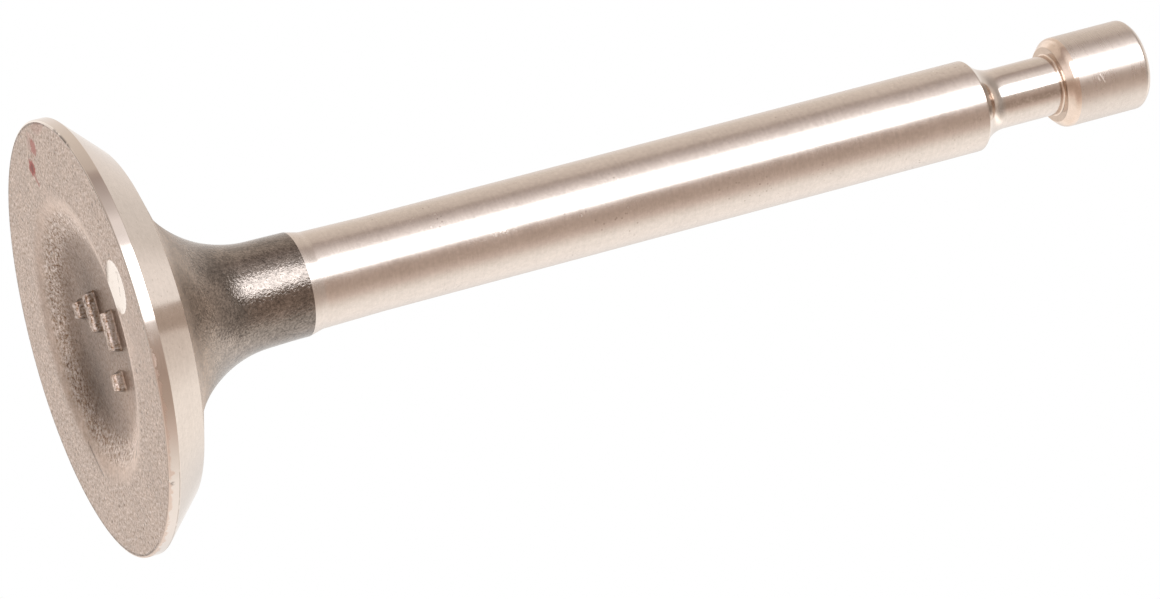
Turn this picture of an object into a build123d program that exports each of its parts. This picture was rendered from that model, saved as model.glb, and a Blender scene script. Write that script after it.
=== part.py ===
from build123d import *
import os
from math import radians, tan

# An engine poppet valve in one piece: forged, then ground on its seat, stem and tip.
# It stands on its head with the stem up +Z. The origin is the centre of the flat ring
# on the head's face. Lengths are in millimetres and angles in degrees.

# Head
head_diameter = 43.5
face_edge_radius = 0.2
margin_height = 1.2
seat_angle = 45.0
seat_height = 3.95

# Dish in the face. Its diameter is where the wall would meet the face unrounded.
dish_diameter = 28.0
dish_depth = 1.7
dish_wall_angle = 18.0
dish_rim_radius = 4.0
dish_floor_radius = 12.0

# Forged back and neck. The neck's diameter is at its upper end, where grinding starts.
back_angle = 21.0
neck_fillet_radius = 11.7
neck_diameter = 10.5
neck_draft = 1.25
neck_height = 21.75

# Ground stem, with the wheel's run-out and a slight lead-in above the neck
runout_diameter = 9.75
runout_length = 1.5
lead_length = 6.75
stem_diameter = 9.5
stem_length = 66.2
stem_edge_radius = 0.2

# Keeper groove: a sloping wall on the stem's side, a square shoulder on the tip's side
groove_diameter = 6.25
groove_length = 9.5
groove_wall_angle = 45.0
groove_wall_radius = 4.0
shoulder_fillet_radius = 0.2
shoulder_chamfer = 0.75
shoulder_edge_radius = 0.9

# Tip
tip_diameter = 9.4
tip_length = 9.6
tip_chamfer = 0.6
tip_edge_radius = 0.6

# Ground spot left on the face by a hardness test
spot_diameter = 5.4
spot_depth = 0.1
spot_offset = 16.0
spot_direction = -14.7

# Die marks raised on the dish's floor: plain ribs along Y, placed by their centres
mark_height = 0.9
mark_draft = 20.0
rib_width = 1.7
long_rib_length = 4.2
short_rib_length = 2.1
long_ribs = [(0.2, -2.4), (4.8, -0.2)]
short_ribs = [(-4.2, -3.0), (2.8, 4.7)]


def rise(run, angle):
    """Height gained over a level run at an angle from the plane of the face."""
    return run * tan(radians(angle))


# Heights above the face
seat_top = margin_height + seat_height
runout_top = neck_height + runout_length
stem_bottom = runout_top + lead_length
stem_top = stem_bottom + stem_length
shoulder = stem_top + groove_length
overall_length = shoulder + tip_length

# Radii
head_radius = head_diameter / 2
dish_radius = dish_diameter / 2
seat_inner_radius = head_radius - seat_height / tan(radians(seat_angle))
floor_corner_radius = dish_radius - dish_depth / tan(radians(dish_wall_angle))
neck_radius = neck_diameter / 2
stem_radius = stem_diameter / 2
groove_radius = groove_diameter / 2
tip_radius = tip_diameter / 2
groove_wall_rise = rise(stem_radius - groove_radius, groove_wall_angle)

# Where the straight back of the head and the straight neck would meet: the back rises
# inwards from the seat's top, and the neck widens downwards from its upper end.
back_slope = tan(radians(back_angle))
neck_slope = tan(radians(neck_draft))
neck_root_radius = (
    neck_radius + neck_slope * (neck_height - seat_top - back_slope * seat_inner_radius)
) / (1 - neck_slope * back_slope)
neck_root_height = seat_top + back_slope * (seat_inner_radius - neck_root_radius)

# The outline from the middle of the dish to the tip: radius, height, corner rounding
outline = [
    (0, dish_depth, 0),
    (floor_corner_radius, dish_depth, dish_floor_radius),
    (dish_radius, 0, dish_rim_radius),
    (head_radius, 0, face_edge_radius),
    (head_radius, margin_height, 0),
    (seat_inner_radius, seat_top, 0),
    (neck_root_radius, neck_root_height, neck_fillet_radius),
    (neck_radius, neck_height, 0),
    (runout_diameter / 2, runout_top, 0),
    (stem_radius, stem_bottom, 0),
    (stem_radius, stem_top, stem_edge_radius),
    (groove_radius, stem_top + groove_wall_rise, groove_wall_radius),
    (groove_radius, shoulder, shoulder_fillet_radius),
    (tip_radius - shoulder_chamfer, shoulder, 0),
    (tip_radius, shoulder + shoulder_chamfer, shoulder_edge_radius),
    (tip_radius, overall_length - tip_chamfer, tip_edge_radius),
    (tip_radius - tip_chamfer, overall_length, tip_edge_radius),
    (0, overall_length, 0),
]
corners = [(radius, height) for radius, height, rounding in outline]
roundings = [rounding for radius, height, rounding in outline]

with BuildPart() as valve:
    with BuildSketch(Plane.XZ):
        with BuildLine():
            FilletPolyline(*corners, radius=roundings, close=True)
        make_face()
    revolve(axis=Axis.Z)

    # The marks stand on the dish's floor and stay below the plane that the head rests on
    with BuildSketch(Plane.XY.offset(dish_depth)):
        with Locations(*long_ribs):
            Rectangle(rib_width, long_rib_length)
        with Locations(*short_ribs):
            Rectangle(rib_width, short_rib_length)
    extrude(amount=-mark_height, taper=mark_draft)

    with BuildSketch(Plane.XY):
        with PolarLocations(spot_offset, 1, start_angle=spot_direction):
            Circle(spot_diameter / 2)
    extrude(amount=spot_depth, mode=Mode.SUBTRACT)

valve.part.label = "valve"

os.makedirs("parts", exist_ok=True)
export_step(valve.part, "parts/valve.step")
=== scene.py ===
"""Looks of a forged engine valve with a ground seat, stem and tip, built in the frame of
its CAD model: it stands on its head, the stem up +Z, everything in metres.
"""

from collections import namedtuple
from math import ceil, pi, radians, tan

import bpy
import numpy as np
from bpy.props import FloatProperty, FloatVectorProperty, IntProperty, PointerProperty
from mathutils import Matrix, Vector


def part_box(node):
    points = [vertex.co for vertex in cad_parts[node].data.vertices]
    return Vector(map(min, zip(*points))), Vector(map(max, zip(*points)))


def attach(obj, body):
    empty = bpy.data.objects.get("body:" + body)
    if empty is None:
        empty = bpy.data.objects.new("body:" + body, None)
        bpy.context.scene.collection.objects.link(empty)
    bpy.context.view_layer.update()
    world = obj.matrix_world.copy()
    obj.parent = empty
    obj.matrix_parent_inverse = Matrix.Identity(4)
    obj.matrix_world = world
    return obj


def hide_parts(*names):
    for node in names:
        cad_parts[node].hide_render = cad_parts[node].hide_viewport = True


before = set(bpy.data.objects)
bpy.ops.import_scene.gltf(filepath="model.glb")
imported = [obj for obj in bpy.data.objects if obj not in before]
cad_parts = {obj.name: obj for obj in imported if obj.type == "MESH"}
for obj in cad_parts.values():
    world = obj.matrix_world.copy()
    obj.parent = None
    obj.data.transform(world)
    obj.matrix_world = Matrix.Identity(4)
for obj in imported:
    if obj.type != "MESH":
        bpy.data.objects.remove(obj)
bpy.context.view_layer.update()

bl_info = {
    "name": "Engine Valve",
    "version": (1, 0, 0),
    "blender": (4, 5, 0),
    "location": "3D View > Sidebar > Valve",
    "description": "A forged engine valve with ground seat, stem and tip, and a pale studio",
    "category": "Mesh",
}

NODE = "valve"
MM = 0.001
LOW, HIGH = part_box(NODE)


# Settings


def length(name, description, default):
    """A length in metres that the sidebar shows with its unit."""
    return FloatProperty(
        name=name,
        description=description,
        default=default,
        min=0.0,
        precision=5,
        unit="LENGTH",
        subtype="DISTANCE",
    )


def angle(name, description, default):
    """An angle that the sidebar shows in degrees."""
    return FloatProperty(
        name=name, description=description, default=radians(default), subtype="ANGLE"
    )


def share(name, description, default, most=1.0):
    """A plain number from nought to a limit."""
    return FloatProperty(
        name=name, description=description, default=default, min=0.0, max=most
    )


def colour(name, description, default):
    """A colour in linear light."""
    return FloatVectorProperty(
        name=name,
        description=description,
        default=default,
        min=0.0,
        max=1.0,
        size=3,
        subtype="COLOR",
    )


class ValveSizes(bpy.types.PropertyGroup):
    """The valve's sizes. The head's diameter and the whole length come from the CAD model."""

    head_diameter: length("Head", "Diameter of the head", HIGH.x - LOW.x)
    overall_length: length("Length", "From the face to the tip", HIGH.z - LOW.z)
    margin_height: length("Margin", "Height of the ground rim round the head", 1.2 * MM)
    seat_angle: angle("Seat angle", "From the plane of the face", 45)
    seat_height: length("Seat height", "Rise of the ground seat", 3.95 * MM)
    dish_diameter: length("Dish", "Where the dish's wall meets the face", 28.0 * MM)
    dish_depth: length("Dish depth", "Depth of the dish's floor", 1.7 * MM)
    dish_wall_angle: angle("Dish wall", "From the plane of the face", 18)
    mark_height: length("Die marks", "Height of the marks in the dish", 0.9 * MM)
    back_angle: angle("Back", "Rise of the head's forged back", 21)
    neck_fillet: length("Neck fillet", "Radius between back and neck", 11.7 * MM)
    neck_diameter: length("Neck", "At the neck's upper end", 10.5 * MM)
    neck_draft: angle("Neck draft", "Taper of the forged neck", 1.25)
    neck_height: length("Neck height", "Where grinding starts", 21.75 * MM)
    runout_diameter: length("Run-out", "Where the stem's lead starts", 9.75 * MM)
    stem_diameter: length("Stem", "Diameter of the ground stem", 9.5 * MM)
    stem_bottom: length("Stem start", "Height where the stem is full size", 30.0 * MM)
    stem_top: length("Stem end", "Height of the keeper groove's start", 96.2 * MM)
    groove_diameter: length("Groove", "Diameter of the keeper groove", 6.25 * MM)
    shoulder: length("Shoulder", "Height of the groove's upper shoulder", 105.7 * MM)
    tip_diameter: length("Tip", "Diameter of the tip", 9.4 * MM)
    tip_chamfer: length("Tip chamfer", "On the end of the tip", 0.6 * MM)
    edge_softness: length("Edges", "Rounding left on a crisp edge", 0.07 * MM)
    around: IntProperty(
        name="Steps around", description="Faces round the valve", default=320, min=24
    )


class ValveFinish(bpy.types.PropertyGroup):
    """Colours and gloss of the steel."""

    ground: colour("Ground steel", "Reflection of the ground surfaces", (0.61, 0.53, 0.47))
    blasted: colour("Face", "Shot-blasted steel of the face", (0.568, 0.447, 0.375))
    forged: colour("Neck", "Heat-darkened forged steel", (0.215, 0.178, 0.152))
    # This colour also paints shade on the die marks' sides, along the burr, at the margin's
    # corner with the seat and in the groove's dark band
    pits_and_painted_shade: colour("Pits", "Dirt in pits and scratches", (0.12, 0.09, 0.07))
    paint: colour("Paint", "Dabs of red paint on the face", (0.36, 0.085, 0.065))
    stem_roughness: share("Stem roughness", "Blur of the ground stem", 0.23)
    margin_roughness: share("Margin roughness", "Blur of the ground rim", 0.07)
    seat_roughness: share("Seat roughness", "Blur of the ground seat", 0.12)
    face_roughness: share("Face roughness", "Blur of the blasted face", 0.44)
    neck_roughness: share("Neck roughness", "Blur of the forged neck", 0.14)


class ValveStudio(bpy.types.PropertyGroup):
    """Light and floor."""

    softbox: share("Softbox", "Brightness of the tall softbox", 4.8, most=20.0)
    floor: colour("Floor", "Colour of the floor", (0.74, 0.735, 0.73))


# Shape

Corner = namedtuple("Corner", "radius height rounding zone spacing")
FACE, MARGIN, SEAT, NECK, STEM, GROOVE, SHOULDER, TIP = range(8)

# Roundings, chamfers and run-out that the sidebar leaves alone
DISH_FLOOR_ROUNDING = 12.0 * MM
DISH_RIM_ROUNDING = 4.0 * MM
FACE_EDGE_ROUNDING = 0.2 * MM
RUNOUT_LENGTH = 1.5 * MM
LEAD_ROUNDING = 2.0 * MM
STEM_EDGE_ROUNDING = 0.2 * MM
GROOVE_WALL_ROUNDING = 4.0 * MM
SHOULDER_FILLET = 0.2 * MM
SHOULDER_CHAMFER = 0.75 * MM
SHOULDER_ROUNDING = 0.9 * MM
# Where the tip's finish starts above the chamfer, just past its rounding
TIP_FINISH_START = 0.42 * MM


def valve_corners(s):
    """The outline's corners, from the middle of the dish to the middle of the tip.

    Each has its rounding, and the zone and the ring spacing of the run after it. The
    forged back and neck are straight lines that meet at the neck's root, and the keeper
    groove's wall on the stem's side falls at 45 degrees:
    height = seat_top + tan(back) * (seat_inner - radius) on the back and
    radius = neck + tan(draft) * (neck_height - height) on the neck.
    """
    head = s.head_diameter / 2
    dish = s.dish_diameter / 2
    floor_corner = dish - s.dish_depth / tan(s.dish_wall_angle)
    seat_inner = head - s.seat_height / tan(s.seat_angle)
    seat_top = s.margin_height + s.seat_height
    neck = s.neck_diameter / 2
    back, draft = tan(s.back_angle), tan(s.neck_draft)
    root = (neck + draft * (s.neck_height - seat_top - back * seat_inner)) / (1 - draft * back)
    root_height = seat_top + back * (seat_inner - root)
    stem = s.stem_diameter / 2
    groove = s.groove_diameter / 2
    tip = s.tip_diameter / 2
    soft = s.edge_softness
    runout_top = s.neck_height + RUNOUT_LENGTH
    wall_foot = s.stem_top + stem - groove
    chamfer_top = s.shoulder + SHOULDER_CHAMFER
    return [
        Corner(0.0, s.dish_depth, 0.0, FACE, 0.12 * MM),
        Corner(floor_corner, s.dish_depth, DISH_FLOOR_ROUNDING, FACE, 1.0 * MM),
        Corner(dish, 0.0, DISH_RIM_ROUNDING, FACE, 0.25 * MM),
        Corner(head, 0.0, FACE_EDGE_ROUNDING, MARGIN, 0.5 * MM),
        Corner(head, s.margin_height, soft, SEAT, 1.5 * MM),
        Corner(seat_inner, seat_top, soft, NECK, 0.6 * MM),
        Corner(root, root_height, s.neck_fillet, NECK, 1.2 * MM),
        Corner(neck, s.neck_height, soft, STEM, 1.0 * MM),
        Corner(s.runout_diameter / 2, runout_top, LEAD_ROUNDING, STEM, 3.0 * MM),
        Corner(stem, s.stem_bottom, LEAD_ROUNDING, STEM, 6.0 * MM),
        Corner(stem, s.stem_top, STEM_EDGE_ROUNDING, GROOVE, 1.0 * MM),
        Corner(groove, wall_foot, GROOVE_WALL_ROUNDING, GROOVE, 2.0 * MM),
        Corner(groove, s.shoulder, SHOULDER_FILLET, SHOULDER, 0.3 * MM),
        Corner(tip - SHOULDER_CHAMFER, s.shoulder, soft, SHOULDER, 0.4 * MM),
        Corner(tip, chamfer_top, SHOULDER_ROUNDING, SHOULDER, 0.1 * MM),
        Corner(tip, chamfer_top + TIP_FINISH_START, 0.0, TIP, 2.0 * MM),
        Corner(tip, s.overall_length - s.tip_chamfer, s.tip_chamfer, TIP, 0.3 * MM),
        Corner(tip - s.tip_chamfer, s.overall_length, s.tip_chamfer, TIP, 0.6 * MM),
        Corner(0.0, s.overall_length, 0.0, TIP, 1.0 * MM),
    ]


def unit(vector):
    """The same direction with a length of 1."""
    return vector / np.linalg.norm(vector)


def tangent_arc(before, corner, after, rounding, step):
    """The arc that rounds a corner: it touches both runs at rounding / tan(half the
    opening angle) from the corner, and its centre lies on the bisector.
    """
    if rounding == 0.0:
        return corner[None, :]
    towards, onwards = unit(before - corner), unit(after - corner)
    half = np.arccos(np.clip(towards @ onwards, -1, 1)) / 2
    reach = rounding / np.tan(half)
    centre = corner + unit(towards + onwards) * rounding / np.sin(half)
    first, last = corner + towards * reach - centre, corner + onwards * reach - centre
    start = np.arctan2(first[1], first[0])
    turn = np.sign(first[0] * last[1] - first[1] * last[0]) * (pi - 2 * half)
    count = max(3, ceil(abs(turn) / step) + 1)
    bearing = start + np.linspace(0, turn, count)
    return centre + rounding * np.stack([np.cos(bearing), np.sin(bearing)], axis=1)


# How close to a rounded edge the last ring of a straight run lies
HOLD = 0.06 * MM


def run_between(start, end, spacing):
    """Rings along a straight run, with one close to each end, so that the smooth
    shading of a rounded edge stays on that edge.
    """
    span = np.linalg.norm(end - start)
    count = max(1, ceil(span / spacing))
    shares = np.linspace(0, 1, count + 1)[1:-1]
    if span > 5 * HOLD:
        held = [HOLD / span, 1 - HOLD / span]
        shares = np.union1d(shares[(shares > held[0]) & (shares < held[1])], held)
    return start + shares[:, None] * (end - start)


def arc_step(rounding):
    """The angle between the rings of an arc: small on a wide arc, large on a crisp edge."""
    degrees = 2.4 if rounding > 1.0 * MM else 9 if rounding > 0.15 * MM else 16
    return radians(degrees)


def outline_rings(corners):
    """All rings as radius and height, and the zone of the step that follows each one."""
    places = np.array([[c.radius, c.height] for c in corners])
    arcs = [places[:1]]
    for i in range(1, len(corners) - 1):
        rounding = corners[i].rounding
        arcs.append(tangent_arc(*places[i - 1 : i + 2], rounding, arc_step(rounding)))
    arcs.append(places[-1:])
    rings, zones = [], []
    for i, arc in enumerate(arcs):
        rings.append(arc)
        zones += [corners[i].zone] * len(arc)
        if i + 1 < len(arcs):
            run = run_between(arc[-1], arcs[i + 1][0], corners[i].spacing)
            rings.append(run)
            zones += [corners[i].zone] * len(run)
    return np.concatenate(rings), np.array(zones)


# Die marks in the dish: plain ribs along Y, placed by their centres
RIB_WIDTH = 1.7 * MM
LONG_RIB, SHORT_RIB = 4.2 * MM, 2.1 * MM
RIBS = [
    (0.2 * MM, -2.4 * MM, LONG_RIB),
    (4.8 * MM, -0.2 * MM, LONG_RIB),
    (-4.2 * MM, -3.0 * MM, SHORT_RIB),
    (2.8 * MM, 4.7 * MM, SHORT_RIB),
]
RIB_DRAFT = radians(20)


def rib_relief(x, y, height):
    """Height of the ribs above the dish's floor: the distance inside a rib's rectangle
    over tan(draft), from nought to the full height, with the foot and top edge eased.
    """
    inside = np.full(x.shape, -1.0)
    for rib_x, rib_y, rib_length in RIBS:
        from_side = RIB_WIDTH / 2 - np.abs(x - rib_x)
        from_end = rib_length / 2 - np.abs(y - rib_y)
        inside = np.maximum(inside, np.minimum(from_side, from_end))
    rise = np.clip(inside / tan(RIB_DRAFT) / height, 0, 1)
    return height * rise * rise * (3 - 2 * rise)


def smooth_step(value, low, high):
    """0 below low and 1 above high, smooth in between."""
    t = np.clip((value - low) / (high - low), 0, 1)
    return t * t * (3 - 2 * t)


# The ground spot that a hardness test left on the face
SPOT_X, SPOT_Y = 15.48 * MM, -4.06 * MM
SPOT_RADIUS = 2.7 * MM
SPOT_DEPTH = 0.1 * MM
SPOT_EDGE = 0.3 * MM
# Half the height of the slow waves that forging left, the radius and height at which
# they are full, and the length over which they fade out below the stem
FACE_WAVE = 0.012 * MM
NECK_WAVE = 0.018 * MM
WAVE_FULL = 9 * MM
WAVE_FADE_OUT = 1.5 * MM


def valve_surface(s):
    """The whole valve as one closed grid: a point is at
    (radius(t) cos a, radius(t) sin a, height(t)), where t runs along the outline from
    the middle of the dish to the middle of the tip and a goes once round. The ribs
    lower the dish's floor, the ground spot is a shallow hollow, and the forged surfaces
    have slow waves of a few hundredths of a millimetre, always into the steel. With the
    radius r and the height h in metres, the face rises by
    FACE_WAVE * (1 + sin(3 a + 900 r) cos(2 a - 500 r + 1)) and the neck shrinks by
    NECK_WAVE * (1 + sin(2 a + 420 h) cos(3 a - 760 h + 2)).
    """
    rings, zones = outline_rings(valve_corners(s))
    radius, height = rings[1:-1, 0, None], rings[1:-1, 1, None]
    around = np.linspace(0, 2 * pi, s.around, endpoint=False)[None, :]
    x, y = radius * np.cos(around), radius * np.sin(around)
    z = height + np.zeros_like(x)

    below = z < s.margin_height / 2
    on_face = smooth_step(-height, -s.dish_depth, 0.0) * smooth_step(radius, 0.0, WAVE_FULL)
    in_dish = (height <= s.dish_depth) & (radius < s.dish_diameter / 2 + 1 * MM)
    z = z - np.where(in_dish, rib_relief(x, y, s.mark_height), 0)
    from_spot = np.hypot(x - SPOT_X, y - SPOT_Y)
    hollow = SPOT_DEPTH * (1 - smooth_step(from_spot, SPOT_RADIUS - SPOT_EDGE, SPOT_RADIUS))
    z = np.where(below, np.maximum(z, hollow), z)

    wave = 1 + np.sin(3 * around + radius * 900) * np.cos(2 * around - radius * 500 + 1)
    z = z + FACE_WAVE * wave * np.where(below, on_face, 0)
    forged = smooth_step(height, s.margin_height + s.seat_height, WAVE_FULL)
    fade = smooth_step(height, s.neck_height - WAVE_FADE_OUT, s.neck_height)
    forged = forged * (1 - fade)
    lump = 1 + np.sin(2 * around + height * 420) * np.cos(3 * around - height * 760 + 2)
    shrink = 1 - NECK_WAVE * lump * forged / np.maximum(radius, MM)
    x, y = x * shrink, y * shrink

    grid = np.stack([x, y, z], axis=-1).reshape(-1, 3)
    ends = np.array([[0, 0, rings[0, 1]], [0, 0, rings[-1, 1]]])
    points = np.concatenate([grid, ends])

    count, steps = len(rings) - 2, s.around
    this = np.arange(steps)
    after = np.roll(this, -1)
    base = (np.arange(count - 1) * steps)[:, None]
    quads = np.stack(
        [base + this, base + after, base + steps + after, base + steps + this], axis=-1
    ).reshape(-1, 4)
    last = (count - 1) * steps
    foot, crown = count * steps, count * steps + 1
    fans = np.concatenate(
        [
            np.stack([np.full(steps, foot), after, this], axis=-1),
            np.stack([np.full(steps, crown), last + this, last + after], axis=-1),
        ]
    )
    quad_zones = np.repeat(zones[1:-2], steps)
    fan_zones = np.repeat([zones[0], zones[-1]], steps)
    return points, quads, fans, np.concatenate([quad_zones, fan_zones])


def mesh_from(name, points, quads, fans, zones):
    """A smooth mesh from arrays of points, quads and triangles, with a zone per face."""
    mesh = bpy.data.meshes.new(name)
    corners = np.concatenate([quads.ravel(), fans.ravel()]).astype(np.int32)
    sizes = np.repeat([4, 3], [len(quads), len(fans)])
    starts = np.concatenate([[0], np.cumsum(sizes)[:-1]]).astype(np.int32)
    mesh.vertices.add(len(points))
    mesh.loops.add(len(corners))
    mesh.polygons.add(len(sizes))
    mesh.vertices.foreach_set("co", points.astype(np.float32).ravel())
    mesh.loops.foreach_set("vertex_index", corners)
    mesh.polygons.foreach_set("loop_start", starts)
    mesh.polygons.foreach_set("material_index", zones.astype(np.int32))
    mesh.polygons.foreach_set("use_smooth", np.ones(len(sizes), bool))
    mesh.update(calc_edges=True)
    mesh.validate()
    return mesh


# Shader tools


class Link:
    """A node's output that takes part in Python arithmetic. Each operator adds the
    node that does it: Vector Math where a side is a vector or colour, else Math.
    """

    def __init__(self, graph, socket):
        self.graph = graph
        self.socket = socket

    def is_vector(self):
        return self.socket.type in {"VECTOR", "RGBA"}

    def calculate(self, operation, *values):
        if any(isinstance(v, tuple) or isinstance(v, Link) and v.is_vector() for v in values):
            kind, output = "ShaderNodeVectorMath", "Vector"
            values = [v if isinstance(v, (Link, tuple)) else (v, v, v) for v in values]
        else:
            kind, output = "ShaderNodeMath", "Value"
        inputs = dict(enumerate(values))
        return self.graph.node(kind, {"operation": operation}, inputs, output)

    def __add__(self, other):
        return self.calculate("ADD", self, other)

    def __radd__(self, other):
        return self.calculate("ADD", other, self)

    def __sub__(self, other):
        return self.calculate("SUBTRACT", self, other)

    def __rsub__(self, other):
        return self.calculate("SUBTRACT", other, self)

    def __mul__(self, other):
        return self.calculate("MULTIPLY", self, other)

    def __rmul__(self, other):
        return self.calculate("MULTIPLY", other, self)

    def __truediv__(self, other):
        return self.calculate("DIVIDE", self, other)

    def least(self, other):
        return self.calculate("MINIMUM", self, other)

    def most(self, other):
        return self.calculate("MAXIMUM", self, other)

    def to_power(self, other):
        return self.calculate("POWER", self, other)

    def size(self):
        return self.calculate("ABSOLUTE", self)

    def step(self, low, high):
        """0 below low and 1 above high, or the other way round, smooth in between."""
        settings = {"interpolation_type": "SMOOTHSTEP"}
        inputs = {"Value": self, "From Min": low, "From Max": high}
        return self.graph.node("ShaderNodeMapRange", settings, inputs, "Result")

    def within(self, low, high, soft):
        """1 between two values and 0 outside, with soft borders."""
        return self.step(low - soft, low + soft) * self.step(high + soft, high - soft)


class Graph:
    """The nodes of one material or world."""

    def __init__(self, owner):
        owner.use_nodes = True
        self.tree = owner.node_tree
        self.tree.nodes.clear()

    def node(self, kind, settings=None, inputs=None, output=None):
        """Adds a node of a kind, sets its settings, then its sockets' values or links.

        It gives back the named output, or the node itself. A ramp's stops are a setting.
        """
        made = self.tree.nodes.new(kind)
        for name, value in (settings or {}).items():
            if name == "stops":
                self.set_stops(made.color_ramp, value)
            else:
                setattr(made, name, value)
        for name, value in (inputs or {}).items():
            socket = made.inputs[name]
            if isinstance(value, Link):
                self.tree.links.new(value.socket, socket)
            else:
                socket.default_value = value
        return made if output is None else Link(self, made.outputs[output])

    def set_stops(self, ramp, stops):
        while len(ramp.elements) > 1:
            ramp.elements.remove(ramp.elements[-1])
        for i, (place, shade) in enumerate(stops):
            stop = ramp.elements[0] if i == 0 else ramp.elements.new(place)
            stop.position = place
            stop.color = (*shade, 1.0)

    def object_millimetres(self):
        """Object coordinates as x, y and z in millimetres, and the same as one vector."""
        place = self.node("ShaderNodeTexCoord", output="Object") * (1 / MM)
        split = self.node("ShaderNodeSeparateXYZ", inputs={0: place})
        return (place, *(Link(self, split.outputs[k]) for k in range(3)))

    def vector(self, x, y, z):
        return self.node("ShaderNodeCombineXYZ", inputs={0: x, 1: y, 2: z}, output="Vector")

    def noise(self, place, scale=1.0, detail=2.0, roughness=0.5):
        """Soft noise from about 0.25 to 0.75, with features 1 / scale across."""
        inputs = {"Vector": place, "Scale": scale, "Detail": detail, "Roughness": roughness}
        return self.node("ShaderNodeTexNoise", {}, inputs, "Fac")

    def cells(self, place, scale=1.0, output="Distance"):
        """Distance from the nearest of scattered points, 1 / scale apart."""
        return self.node(
            "ShaderNodeTexVoronoi", {}, {"Vector": place, "Scale": scale}, output
        )

    def mix(self, factor, first, second):
        """A blend of two colours, the second where the factor is 1."""
        shades = [c if isinstance(c, Link) else (*c, 1.0) for c in (first, second)]
        inputs = {"Factor": factor, 6: shades[0], 7: shades[1]}
        return self.node("ShaderNodeMix", {"data_type": "RGBA"}, inputs, 2)

    def shade(self, base, factor):
        """A linked colour made lighter or darker by a number."""
        return self.node(
            "ShaderNodeVectorMath",
            {"operation": "SCALE"},
            {0: base, "Scale": factor},
            "Vector",
        )

    def bump(self, height, depth, under=None):
        """A normal from a height from 0 to 1 that stands for a depth in millimetres."""
        inputs = {"Height": height, "Distance": depth * MM, "Strength": 1.0}
        if under is not None:
            inputs["Normal"] = under
        return self.node("ShaderNodeBump", {}, inputs, "Normal")


def steel(name, build):
    """A steel material. The builder gets the graph and returns the shader's inputs."""
    material = bpy.data.materials.new(name)
    graph = Graph(material)
    inputs = {"Metallic": 1.0} | build(graph)
    shader = graph.node("ShaderNodeBsdfPrincipled", {}, inputs, "BSDF")
    graph.node("ShaderNodeOutputMaterial", {}, {"Surface": shader})
    return material


def rgb(value, level=1.0):
    """A plain colour from a setting, made lighter or darker."""
    return tuple(float(part) * level for part in value)


def tinted(value, tint):
    """A plain colour from a setting, with its own share for red, green and blue."""
    return tuple(float(part) * scale for part, scale in zip(value, tint))


def near(place, centre, radius, soft):
    """1 within a radius of a point, in millimetres, falling to 0 over a soft border."""
    away = place - centre
    distance = away.graph.node(
        "ShaderNodeVectorMath", {"operation": "LENGTH"}, {0: away}, "Value"
    )
    return distance.step(radius + soft, radius - soft)


def stroke(x, y, start, end, width):
    """1 on a thin straight scratch between two points of the face, else 0.

    The nearest share along the line is the offset's part in its direction over its
    length, kept from 0 to 1, and the mask comes from the distance to that place.
    """
    dx, dy = end[0] - start[0], end[1] - start[1]
    squared = dx * dx + dy * dy
    along = ((x - start[0]) * dx + (y - start[1]) * dy) / squared
    along = along.most(0.0).least(1.0)
    off_x = x - start[0] - along * dx
    off_y = y - start[1] - along * dy
    return (off_x * off_x + off_y * off_y).to_power(0.5).step(width, width * 0.3)


def dab(x, y, centre, half_sizes, turn, ragged):
    """1 inside a turned ellipse with a ragged edge, else 0. The ragged value, about 0,
    is added to the distance from the middle, which is 1 on the ellipse.
    """
    c, s = float(np.cos(radians(turn))), float(np.sin(radians(turn)))
    dx, dy = x - centre[0], y - centre[1]
    along = (dx * c + dy * s) / half_sizes[0]
    across = (dy * c - dx * s) / half_sizes[1]
    return ((along * along + across * across).to_power(0.5) + ragged).step(1.15, 0.75)


# Marks on the side that looks along +X, by y and z in millimetres: light scratches on the tip
# by their ends, the stem's scuff and the groove's streak of grime and painted shade by low,
# high and soft border
TIP_SCRATCHES = [((0.3, 109.3), (1.2, 109.7)), ((0.5, 109.0), (0.9, 109.1))]
TICK_WIDTH = 0.10
SCUFF_ACROSS, SCUFF_ALONG = (-0.1, 0.45, 0.25), (41.4, 43.2, 0.9)
GRIME_AND_SHADE_ACROSS = (0.55, 1.35, 0.3)
# How a turned or ground surface looks: blur, lines, their depth in millimetres, and the
# strength of its flecks and of its streak of grime and painted shade
Turned = namedtuple("Turned", "roughness lines_per_mm depth flecks grime", defaults=[0.0])
GROOVE_LOOK = Turned(roughness=0.14, lines_per_mm=5.0, depth=0.0028, flecks=0.15, grime=0.45)
SHOULDER_LOOK = Turned(roughness=0.15, lines_per_mm=5.0, depth=0.0012, flecks=0.1)
TIP_LOOK = Turned(roughness=0.28, lines_per_mm=5.0, depth=0.0022, flecks=0.2)
# The shoulder's colour as a share of the ground steel's, warmer as a painted reflection of the
# groove, and the tip's level
SHOULDER_REFLECTION_TINT = (1.08, 0.99, 0.92)
TIP_LEVEL = 0.965


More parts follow.
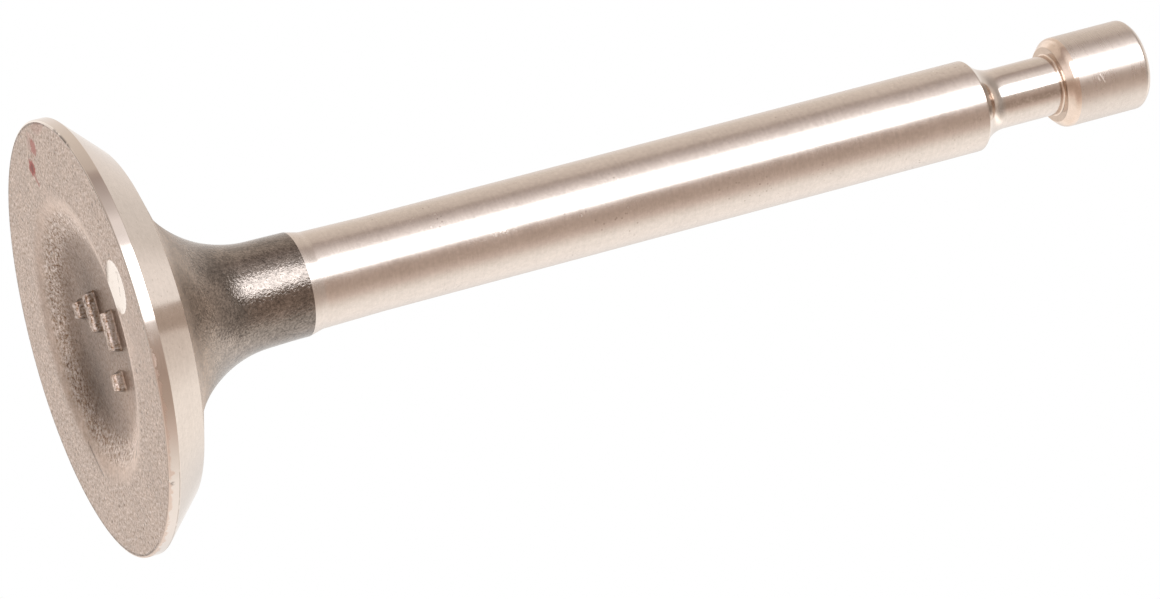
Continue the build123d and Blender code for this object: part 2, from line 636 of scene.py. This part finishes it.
def ground_steel(finish, tint, look):
    """Builder of a ground or turned surface: fine lines round the axis, from noise that is
    drawn out round it, a slow cloudiness in gloss, and a few small flecks in clusters; on the
    groove, a streak of grime with painted shade.
    """

    def build(graph):
        place, x, y, z = graph.object_millimetres()
        lines = graph.noise(
            graph.vector(x * 0.12, y * 0.12, z * look.lines_per_mm), detail=3.0, roughness=0.6
        )
        cloud = graph.noise(place, scale=0.3, detail=4.0)
        patches = graph.noise(place, scale=0.16, detail=2.0).step(0.52, 0.66)
        fleck = graph.cells(place, 1.7).step(0.22, 0.10) * patches * look.flecks
        mottle = graph.noise(place, scale=2.2, detail=3.0, roughness=0.7)
        tone = 1.0 + (cloud - 0.5) * 0.12 + (lines - 0.5) * 0.12 + (mottle - 0.5) * 0.28
        front = x.step(0.0, 1.0)
        dirt_and_painted_shade = fleck
        if look.grime:
            # The groove's dark band on the front: grime specks and a painted dark reflection
            streak = y.within(*GRIME_AND_SHADE_ACROSS) * front
            dirt_and_painted_shade = fleck.most(streak * mottle.step(0.30, 0.62) * look.grime)
        base = graph.mix(dirt_and_painted_shade, rgb(tint), rgb(finish.pits_and_painted_shade, 2.0))
        blur = look.roughness + (cloud - 0.5) * 0.10 + (lines - 0.5) * 0.06
        scuffs = y.within(*SCUFF_ACROSS) * z.within(*SCUFF_ALONG) * mottle.step(0.46, 0.66)
        for start, end in TIP_SCRATCHES:
            scuffs = scuffs.most(stroke(y, z, start, end, TICK_WIDTH))
        glint = graph.cells(place + 20.0, 1.1).step(0.16, 0.06) * patches
        scuffs = (scuffs * front).most(glint * look.flecks) * 0.6
        return {
            "Base Color": graph.shade(base, tone * (1.0 + scuffs * 0.35)),
            "Roughness": blur + scuffs * 0.3,
            "Normal": graph.bump(lines + (cloud - 0.5) * 0.5, look.depth),
        }

    return build


# Depths that the bump of each forged or ground surface stands for, in millimetres
MARGIN_BUMP, FACE_BUMP, NECK_BUMP = 0.012, 0.085, 0.055
# Marks on the ground rim, and the place of the painted shade along its burr: centre, radius
# and soft border, in millimetres
RIM_NICK = ((15.7, 15.05, 0.35), 0.24, 0.14)
RIM_SMEAR = ((21.7, 1.0, 0.6), 0.9, 0.5)
RIM_WORN = ((21.5, 3.2, 0.6), 1.7, 0.9)
RIM_BURR_SHADE = ((10.2, -19.1, 0.1), 2.2, 0.8)


def margin_steel(finish):
    """Builder of the ground rim: nearly a mirror, with a nick, a burr with painted shade along
    it, dull patches, a thin line of painted shade at the seat's edge and a ragged border to
    the face on one side.
    """

    def build(graph):
        place, x, y, z = graph.object_millimetres()
        lines = graph.noise(graph.vector(x * 0.1, y * 0.1, z * 6.0), detail=2.0)
        cloud = graph.noise(place, scale=0.5, detail=3.0)
        grain = graph.noise(place, scale=5.0, detail=2.0)
        nick = near(place + (grain - 0.5) * 0.7, *RIM_NICK) * 0.6
        streaks = graph.noise(graph.vector(x, y * 0.5, z * 3.0), scale=1.6, detail=3.0)
        smear = near(place, *RIM_SMEAR)
        wear_and_light = near(place, *RIM_WORN) * streaks.step(0.36, 0.60)
        # Painted shade along the face's edge where the burr is
        burr_shade = near(place, *RIM_BURR_SHADE) * z.step(0.24, 0.06)
        broken = graph.noise(place, scale=1.1, detail=2.0).step(0.36, 0.50)
        dirt_and_painted_shade = nick.most(burr_shade * broken * 0.8).most(wear_and_light * 0.08)
        # Painted shade: a thin dark line at the margin's corner with the seat
        edge_line = z.within(1.06, 1.18, 0.04) * y.step(12.0, 15.0)
        dirt_and_painted_shade = dirt_and_painted_shade.most(edge_line * streaks.step(0.3, 0.55) * 0.35)
        base = graph.mix(dirt_and_painted_shade, rgb(finish.ground), rgb(finish.pits_and_painted_shade))
        wander = graph.noise(place, scale=0.9, detail=3.0, roughness=0.7)
        rough_border = (z + (wander - 0.5) * 1.6).step(0.42, 0.22) * y.step(1.0, 4.0)
        base = graph.mix(rough_border, base, rgb(finish.blasted, 1.05))
        height = lines * 0.1 - nick * 0.5 + (cloud - 0.5) * 0.15
        blur = finish.margin_roughness + smear * 0.08 + wear_and_light * 0.10 + nick * 0.3
        return {
            "Base Color": graph.shade(base, 1.0 + (cloud - 0.5) * 0.08),
            "Roughness": blur + rough_border * 0.3,
            "Normal": graph.bump(height, MARGIN_BUMP),
        }

    return build


# What the face carries, as seen with +X to the right: dabs of paint by centre, half
# sizes and turn, scratches by their ends, and pits by place and radius, in millimetres
PAINT_DABS = [((-0.6, -19.3), (1.00, 0.85), 0.0), ((-2.95, -17.4), (1.10, 0.85), 0.0)]
PAINT_TAILS = [((-3.0, -16.8), (-2.1, -15.6))]
PAINT_TRACES = [((2.6, -20.9), (2.2, 0.7), 0.0), ((-1.2, -19.5), (1.3, 1.3), 0.0)]
SCRATCHES = [
    ((-9.7, 9.8), (-6.9, 13.2)),
    ((7.5, 10.5), (5.8, 12.1)),
    ((17.0, -5.3), (16.5, -4.4)),
    ((16.3, -3.9), (15.9, -3.2)),
]
FACE_PITS = [(15.0, -12.05, 0.24), (6.66, 11.6, 0.3), (15.0, 4.0, 0.26)]
# Painted shade and painted light in the dish, and a stretch of the ring with fainter grain:
# centre, radius and soft border, in millimetres
PAINTED_WALL_SHADE = ((-7.4, 4.6, 1.0), 3.9, 5.0)
PAINTED_FLOOR_SHADE = ((-0.3, -4.0, 1.5), 2.6, 3.6)
PAINTED_FLOOR_LIGHT = ((4.2, 7.4, 1.5), 2.5, 4.0)
PAINTED_WALL_LIGHT = ((11.9, 1.5, 0.8), 2.2, 3.0)
SMOOTH_RING = ((17.8, 2.0, 0.0), 3.5, 4.0)
# The dish's floor as a share of the face's red, green and blue: partly darker forged steel,
# partly painted shade
DARK_FLOOR = (0.60, 0.555, 0.52)
SCRATCH_WIDTH, TAIL_WIDTH = 0.22, 0.3
# How strongly red, green and blue follow the grain: its dark grains are browner
GRIT_TINT = (0.78, 1.0, 1.24)
# How much red, green and blue the painted shade on the dish's wall and floor takes away
PAINTED_SHADE_TINT = (0.60, 0.645, 0.69)


def face_steel(finish):
    """Builder of the shot-blasted face, with its ground spot, paint dabs and scratches, and
    painted light and shade in the dish and along the face's edge.
    """

    def build(graph):
        place, x, y, z = graph.object_millimetres()
        grain = graph.noise(place, scale=2.9, detail=3.0, roughness=0.78)
        coarse = graph.noise(place, scale=0.8, detail=3.0)
        broad = graph.noise(place, scale=0.22, detail=2.0)
        ragged = (graph.noise(place, scale=2.2, detail=2.0) - 0.5) * 1.4
        from_axis = (x * x + y * y).to_power(0.5)

        spot_x, spot_y = x - SPOT_X / MM, y - SPOT_Y / MM
        from_spot = (spot_x.to_power(2.0) + spot_y.to_power(2.0)).to_power(0.5)
        spot = from_spot.step(SPOT_RADIUS / MM, SPOT_RADIUS / MM - 0.18)
        spot_lines = graph.noise(graph.vector(x * 0.5, y * 6.0, z), detail=2.0)

        dark_floor = tinted(finish.blasted, DARK_FLOOR)
        in_dish = z.step(0.7, 1.6)
        wall = z.within(0.25, 1.3, 0.2)
        base = graph.mix(in_dish, rgb(finish.blasted), dark_floor)
        # The dish's rim: worn smoother, with fainter grain and no pits, and lighter as a
        # painted highlight
        rim = from_axis.within(12.6, 14.2, 0.7)
        # Painted shade on the sides of the die marks
        rib_sides = z.within(1.05, 1.60, 0.10) * from_axis.step(7.4, 7.0)
        pits = graph.cells(place, 1.25).step(0.36, 0.14) * coarse.step(0.46, 0.62)
        # Painted shade on the dish's wall on the -X side, where the grain and pits are also
        # fainter
        painted_shade = near(place, *PAINTED_WALL_SHADE)
        pits = pits * (1.0 - rim) * (1.0 - painted_shade * 0.6)
        for px, py, radius in FACE_PITS:
            pits = pits.most(near(place, (px, py, 0.0), radius, radius * 0.4))
        # Dirt in pits and scratches, with the painted shade on the die marks' sides
        pits_scratches_and_painted_shade = (pits * 0.5).most(rib_sides * 0.8)
        for start, end in SCRATCHES:
            line = stroke(x, y, start, end, SCRATCH_WIDTH)
            pits_scratches_and_painted_shade = pits_scratches_and_painted_shade.most(line * grain.step(0.35, 0.6) * 0.8)
        base = graph.mix(pits_scratches_and_painted_shade, base, rgb(finish.pits_and_painted_shade))
        # Painted light on part of the dish's floor and on its wall on the +X side
        wear_and_light, painted_wall_light = near(place, *PAINTED_FLOOR_LIGHT), near(place, *PAINTED_WALL_LIGHT)
        grit = (grain - 0.5) * (3.3 + wall * 1.7 - in_dish * 0.6) * (1.0 - rim * 0.6)
        grit = grit * (1.0 - painted_shade * 0.55) * (1.0 - near(place, *SMOOTH_RING) * 0.55)
        # Painted shade: a dark line along the face's outer edge on the side away from +X
        painted_edge_shade = from_axis.step(21.25, 21.45) * x.step(9.0, 3.0)
        # Slow changes of tone, with the painted light in the dish added
        slow = (coarse - 0.5) * 0.4 + (broad - 0.5) * 0.25 + wear_and_light * 0.38 + painted_wall_light * 0.38
        slow = slow + rim * 0.16 - painted_edge_shade * 0.4
        # The painted shade on the dish's wall and floor darkens the colour
        painted_shade = (painted_shade + near(place, *PAINTED_FLOOR_SHADE) * 0.62) * PAINTED_SHADE_TINT
        base = base * (grit * GRIT_TINT - painted_shade + slow + 1.0).most(0.2)
        base = graph.mix(spot * (1.0 - pits_scratches_and_painted_shade), base, rgb(finish.ground, 1.1))

        paint = dab(x, y, *PAINT_DABS[0], ragged) * 0.75
        paint = paint.most(dab(x, y, *PAINT_DABS[1], ragged))
        for start, end in PAINT_TAILS:
            paint = paint.most(stroke(x, y, start, end, TAIL_WIDTH) * 0.7)
        for trace in PAINT_TRACES:
            paint = paint.most(dab(x, y, *trace, ragged) * 0.22)
        paint = paint * (0.55 + grain * 0.8).least(1.0)
        core = dab(x, y, *PAINT_DABS[1], ragged + 0.45)
        base = graph.mix(paint, base, rgb(finish.paint))
        base = graph.mix(core * 0.8, base, rgb(finish.paint, 0.45))

        rough = finish.face_roughness + (grain - 0.5) * 0.16
        blur = rough * (1.0 - spot) + (0.16 + (spot_lines - 0.5) * 0.1) * spot
        height = (grain * 0.8 + coarse * 0.2 - pits * 0.5) * (1.0 - spot) + spot_lines * 0.03
        return {
            "Base Color": base,
            "Roughness": blur,
            "Metallic": 1.0 - paint * 0.9,
            "Specular IOR Level": 0.1,
            "Normal": graph.bump(height, FACE_BUMP),
        }

    return build


# How much more red and less blue the back is than the neck
BACK_WARMTH = (0.07, 0.01, -0.06)
# Patches of painted light and shade on the back and neck: centre, radius and soft border in
# millimetres, and how much lighter or darker
PAINTED_LIGHT_AND_SHADE_PATCHES = [
    ((9.4, 8.2, 7.2), 2.6, 3.2, 0.40),
    ((2.6, 5.0, 13.0), 1.4, 2.2, 0.20),
    ((4.2, 3.3, 19.6), 1.0, 1.8, -0.16),
    ((2.7, -4.6, 19.6), 0.9, 1.6, -0.14),
]


def forged_steel(finish):
    """Builder of the dark forged neck, with coarse bright and dark grains, and of the head's
    back, which is paler, warmer and rougher, with painted light on one side and patches of
    painted light and shade.
    """

    def build(graph):
        place, x, y, z = graph.object_millimetres()
        grain = graph.noise(place, scale=3.6, detail=2.0, roughness=0.6)
        fine = graph.noise(place + 40.0, scale=7.0, detail=1.0)
        coarse = graph.noise(place, scale=0.8, detail=3.0)
        tone = 0.98 + (grain - 0.5) * 1.6 + (fine - 0.5) * 0.9 + (coarse - 0.5) * 0.4
        base = graph.mix(coarse.step(0.35, 0.7), rgb(finish.forged), rgb(finish.forged, 1.1))
        near_stem, on_back, near_seat = z.step(19.0, 21.5), z.step(12.5, 7.5), z.step(8.0, 5.6)
        height = (grain * 0.65 + fine * 0.25 + coarse * 0.1) * (1.0 + on_back)
        level = 1.0 - near_stem * 0.10
        # Painted light: the back is lighter where x is under about 7.5 mm
        level = level + on_back * (0.34 + x.step(11.0, 7.5) * 0.16) + near_seat * 0.44
        # Patches of painted light and shade
        for centre, radius, soft, change in PAINTED_LIGHT_AND_SHADE_PATCHES:
            level = level + near(place, centre, radius, soft) * change
        return {
            "Base Color": graph.shade(base, tone * level) * (on_back * BACK_WARMTH + 1.0),
            "Roughness": finish.neck_roughness + (grain - 0.5) * 0.3 + on_back * 0.30,
            "Normal": graph.bump(height, NECK_BUMP),
        }

    return build


class VALVE_OT_add_valve(bpy.types.Operator):
    """Build the valve as one closed surface with a finish for each machined zone"""

    bl_idname = "valve.add_valve"
    bl_label = "Add Valve"

    def execute(self, context):
        sizes = context.scene.valve_sizes
        finish = context.scene.valve_finish
        piece = bpy.data.objects.new(
            "valve_surface", mesh_from("valve_surface", *valve_surface(sizes))
        )
        context.scene.collection.objects.link(piece)
        ground = finish.ground
        # The shoulder's warmer colour is a painted reflection of the groove
        shoulder = tinted(ground, SHOULDER_REFLECTION_TINT)
        tip = rgb(ground, TIP_LEVEL)
        seat_look = Turned(finish.seat_roughness, lines_per_mm=6.0, depth=0.0012, flecks=0.25)
        stem_look = Turned(finish.stem_roughness, lines_per_mm=7.0, depth=0.0018, flecks=0.5)
        materials = {
            FACE: steel("blasted_face_steel", face_steel(finish)),
            MARGIN: steel("ground_margin_steel", margin_steel(finish)),
            SEAT: steel("ground_seat_steel", ground_steel(finish, ground, seat_look)),
            NECK: steel("forged_neck_steel", forged_steel(finish)),
            STEM: steel("ground_stem_steel", ground_steel(finish, ground, stem_look)),
            GROOVE: steel("turned_groove_steel", ground_steel(finish, ground, GROOVE_LOOK)),
            SHOULDER: steel(
                "turned_shoulder_steel", ground_steel(finish, shoulder, SHOULDER_LOOK)
            ),
            TIP: steel("ground_tip_steel", ground_steel(finish, tip, TIP_LOOK)),
        }
        for zone in sorted(materials):
            piece.data.materials.append(materials[zone])
        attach(piece, "root")
        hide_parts(NODE)
        return {"FINISHED"}


# Studio

# Level of the walls round the valve, by the angle from +X towards -Y, in degrees
WALLS = [
    (-180, (1.00, 0.965, 0.93)),
    (-162, (1.00, 0.98, 0.96)),
    (-138, (1.25, 1.25, 1.25)),
    (-122, (1.39, 1.39, 1.39)),
    (-90, (1.35, 1.35, 1.34)),
    (-74, (1.15, 1.11, 1.07)),
    (-58, (0.88, 0.76, 0.70)),
    (-42, (0.655, 0.545, 0.475)),
    (-26, (0.58, 0.47, 0.41)),
    (-12, (0.64, 0.53, 0.47)),
    (-3, (0.72, 0.65, 0.60)),
    (10, (1.40, 1.38, 1.40)),
    (43, (1.40, 1.39, 1.44)),
    (48, (1.22, 1.20, 1.22)),
    (56, (1.20, 1.16, 1.17)),
    (63, (0.90, 0.85, 0.84)),
    (73, (0.69, 0.63, 0.61)),
    (84, (0.56, 0.485, 0.455)),
    (88, (0.62, 0.54, 0.50)),
    (91, (0.80, 0.73, 0.67)),
    (104, (0.90, 0.83, 0.77)),
    (122, (0.98, 0.91, 0.84)),
    (151, (1.05, 0.99, 0.94)),
    (168, (1.00, 0.95, 0.91)),
    (180, (1.00, 0.965, 0.93)),
]
# Level of the ceiling, by the same angle
CEILING = [
    (-180, (1.40, 1.37, 1.33)),
    (-150, (1.24, 1.21, 1.17)),
    (-135, (1.50, 1.48, 1.45)),
    (-122, (2.10, 2.08, 2.04)),
    (-110, (1.95, 1.92, 1.88)),
    (-98, (1.20, 1.15, 1.10)),
    (-84, (0.78, 0.74, 0.70)),
    (-68, (0.58, 0.54, 0.51)),
    (95, (0.56, 0.52, 0.49)),
    (115, (0.68, 0.64, 0.61)),
    (138, (0.92, 0.88, 0.84)),
    (155, (0.96, 0.92, 0.88)),
    (166, (1.15, 1.12, 1.08)),
    (180, (1.40, 1.37, 1.33)),
]
# A level just above the highest in both tables, which the ramps hold as 1
PEAK = 2.2
# Elevations, in degrees, between which walls turn to ceiling and ceiling to zenith
CEILING_START, ZENITH_START = (34.0, 56.0), (62.0, 75.0)
ZENITH = (0.88, 0.80, 0.74)
SOFTBOX_TINT = (0.94, 1.0, 1.08)
# The softbox's two upright edges by bearing, and its lower and upper edge with softness
SOFTBOX_FIRST_EDGE, SOFTBOX_LAST_EDGE = (-0.5, 4.5), (43.0, 36.5)
SOFTBOX_HEIGHT = (-32.0, 50.0, 3.0)
# Cards by bearing and elevation, with softness, and their level
OVERHEAD_BEARING, OVERHEAD_HEIGHT = (149.0, 177.0, 1.5), (63.0, 84.0, 1.5)
OVERHEAD_LEVEL = (1.25, 1.22, 1.20)
LOW_CARD_BEARING, LOW_CARD_HEIGHT = (95.0, 135.0), (-20.0, 1.0, 5.0)
LOW_CARD_LEVEL = (1.35, 1.33, 1.30)
DARK_BEARING, DARK_HEIGHT = (118.0, 150.0), (-64.0, -34.0, 12.0)
DARKENING = 0.7

# The camera that was fitted to the photo: its place in metres, its axes, and its lens
# and sensor in millimetres
CAMERA_PLACE = (0.49248, 0.0, -0.12881)
CAMERA_RIGHT = (0.33376, 0.25615, 0.90719)
CAMERA_UP = (0.07233, -0.96650, 0.24628)
CAMERA_BACK = (0.93988, -0.01658, -0.34110)
CAMERA_LENS, CAMERA_SENSOR = 163.54, 36.0
CAMERA_NEAR = 0.01

# The floor lies a hair below the head and reaches a hair under it. It fades to white
# between two distances in millimetres.
FLOOR_REACH = 4.0
FLOOR_DROP = 0.01 * MM
FLOOR_OVERLAP = 0.05 * MM
FLOOR_FADE = (250.0, 900.0)


def around_ramp(graph, bearing, levels):
    """A level that changes with the bearing, from a table of bearings and levels."""
    stops = [((a + 180) / 360, tuple(c / PEAK for c in level)) for a, level in levels]
    ramp = graph.node(
        "ShaderNodeValToRGB", {"stops": stops}, {0: (bearing + 180.0) / 360.0}, "Color"
    )
    return graph.shade(ramp, PEAK)


def studio_world(studio):
    """White for the camera. Everything else is lit by soft walls whose level changes
    round the valve, a tall softbox, a ceiling with one brighter card in it, a white card
    low down on the face's side, and darkness below that.
    """
    world = bpy.data.worlds.new("studio")
    graph = Graph(world)
    towards = graph.node("ShaderNodeTexCoord", output="Generated")
    split = graph.node("ShaderNodeSeparateXYZ", inputs={0: towards})
    x, y, z = (Link(graph, split.outputs[k]) for k in range(3))
    bearing = x.calculate("ARCTAN2", y * -1.0, x) * (180 / pi)
    elevation = x.calculate("ARCSINE", z) * (180 / pi)
    walls = around_ramp(graph, bearing, WALLS)
    ceiling = around_ramp(graph, bearing, CEILING)
    ceiling = graph.mix(elevation.step(*ZENITH_START), ceiling, ZENITH)
    level = graph.mix(elevation.step(*CEILING_START), walls, ceiling)
    overhead = bearing.within(*OVERHEAD_BEARING) * elevation.within(*OVERHEAD_HEIGHT)
    level = graph.mix(overhead, level, OVERHEAD_LEVEL)
    box = bearing.step(*SOFTBOX_FIRST_EDGE) * bearing.step(*SOFTBOX_LAST_EDGE)
    box = box * elevation.within(*SOFTBOX_HEIGHT)
    level = graph.mix(box, level, rgb(SOFTBOX_TINT, studio.softbox))
    dark = bearing.size().step(*DARK_BEARING) * elevation.within(*DARK_HEIGHT)
    level = graph.shade(level, 1.0 - DARKENING * dark)
    low_card = bearing.size().step(*LOW_CARD_BEARING) * elevation.within(*LOW_CARD_HEIGHT)
    level = graph.mix(low_card, level, LOW_CARD_LEVEL)
    camera_ray = graph.node("ShaderNodeLightPath", output="Is Camera Ray")
    level = graph.mix(camera_ray, level, (1.0, 1.0, 1.0))
    background = graph.node("ShaderNodeBackground", {}, {"Color": level}, "Background")
    graph.node("ShaderNodeOutputWorld", {}, {"Surface": background})
    return world


def floor_disc(inner, outer, height, rings=24, around=128):
    """A flat ring: points at (q cos a, q sin a, height), q from inner to outer with
    steps that grow outwards.
    """
    q = np.geomspace(inner, outer, rings)[:, None]
    a = np.linspace(0, 2 * pi, around, endpoint=False)[None, :]
    points = np.stack([q * np.cos(a), q * np.sin(a), height + 0 * q * a], -1).reshape(-1, 3)
    this = np.arange(around)
    after = np.roll(this, -1)
    base = (np.arange(rings - 1) * around)[:, None]
    quads = np.stack(
        [base + this, base + around + this, base + around + after, base + after], -1
    ).reshape(-1, 4)
    return points, quads, np.zeros((0, 3), int), np.zeros(len(quads))


def floor_material(studio):
    """A pale matt floor that fades to white far out. It is clear from below, because the
    picture is taken from below the plane that the head stands on, and clear in
    reflections, so that the steel shows the studio's walls from every side.
    """
    material = bpy.data.materials.new("pale_floor")
    graph = Graph(material)
    place, x, y, z = graph.object_millimetres()
    far = (x * x + y * y).to_power(0.5).step(*FLOOR_FADE)
    matt = graph.node(
        "ShaderNodeBsdfDiffuse", {}, {"Color": (*rgb(studio.floor), 1.0)}, "BSDF"
    )
    white = graph.node("ShaderNodeEmission", {}, {"Color": (1.0, 1.0, 1.0, 1.0)}, "Emission")
    top = graph.node("ShaderNodeMixShader", {}, {0: far, 1: matt, 2: white}, "Shader")
    clear = graph.node("ShaderNodeBsdfTransparent", {}, {}, "BSDF")
    below = graph.node("ShaderNodeNewGeometry", output="Backfacing")
    below = below.most(graph.node("ShaderNodeLightPath", output="Is Glossy Ray"))
    surface = graph.node("ShaderNodeMixShader", {}, {0: below, 1: top, 2: clear}, "Shader")
    graph.node("ShaderNodeOutputMaterial", {}, {"Surface": surface})
    return material


class VALVE_OT_add_stage(bpy.types.Operator):
    """Add the pale floor, the soft studio light and the camera"""

    bl_idname = "valve.add_stage"
    bl_label = "Add Stage"

    def execute(self, context):
        scene = context.scene
        studio = scene.valve_studio
        under_head = scene.valve_sizes.head_diameter / 2 - FLOOR_OVERLAP
        disc = floor_disc(under_head, outer=FLOOR_REACH, height=-FLOOR_DROP)
        floor = bpy.data.objects.new("floor", mesh_from("floor", *disc))
        floor.data.materials.append(floor_material(studio))
        scene.collection.objects.link(floor)
        scene.world = studio_world(studio)
        scene.view_settings.view_transform = "Standard"

        camera = bpy.data.cameras.new("camera")
        camera.sensor_fit = "HORIZONTAL"
        camera.sensor_width = CAMERA_SENSOR
        camera.lens = CAMERA_LENS
        camera.clip_start = CAMERA_NEAR
        holder = bpy.data.objects.new("camera", camera)
        turn = Matrix((CAMERA_RIGHT, CAMERA_UP, CAMERA_BACK)).transposed().to_4x4()
        holder.matrix_world = Matrix.Translation(CAMERA_PLACE) @ turn
        scene.collection.objects.link(holder)
        scene.camera = holder
        return {"FINISHED"}


class VALVE_PT_panel(bpy.types.Panel):
    """Sizes, finish and studio of the valve"""

    bl_idname = "VALVE_PT_panel"
    bl_label = "Engine Valve"
    bl_space_type = "VIEW_3D"
    bl_region_type = "UI"
    bl_category = "Valve"

    def draw(self, context):
        layout = self.layout
        layout.use_property_split = True
        for group in ("valve_sizes", "valve_finish", "valve_studio"):
            settings = getattr(context.scene, group)
            column = layout.column(align=True)
            for name in settings.__annotations__:
                column.prop(settings, name)
        layout.operator(VALVE_OT_add_valve.bl_idname)
        layout.operator(VALVE_OT_add_stage.bl_idname)


CLASSES = (
    ValveSizes,
    ValveFinish,
    ValveStudio,
    VALVE_OT_add_valve,
    VALVE_OT_add_stage,
    VALVE_PT_panel,
)


def register():
    for item in CLASSES:
        bpy.utils.register_class(item)
    bpy.types.Scene.valve_sizes = PointerProperty(type=ValveSizes)
    bpy.types.Scene.valve_finish = PointerProperty(type=ValveFinish)
    bpy.types.Scene.valve_studio = PointerProperty(type=ValveStudio)


def unregister():
    del bpy.types.Scene.valve_sizes
    del bpy.types.Scene.valve_finish
    del bpy.types.Scene.valve_studio
    for item in reversed(CLASSES):
        bpy.utils.unregister_class(item)


def main():
    register()
    bpy.ops.valve.add_valve()
    bpy.ops.valve.add_stage()


if __name__ == "__main__":
    main()
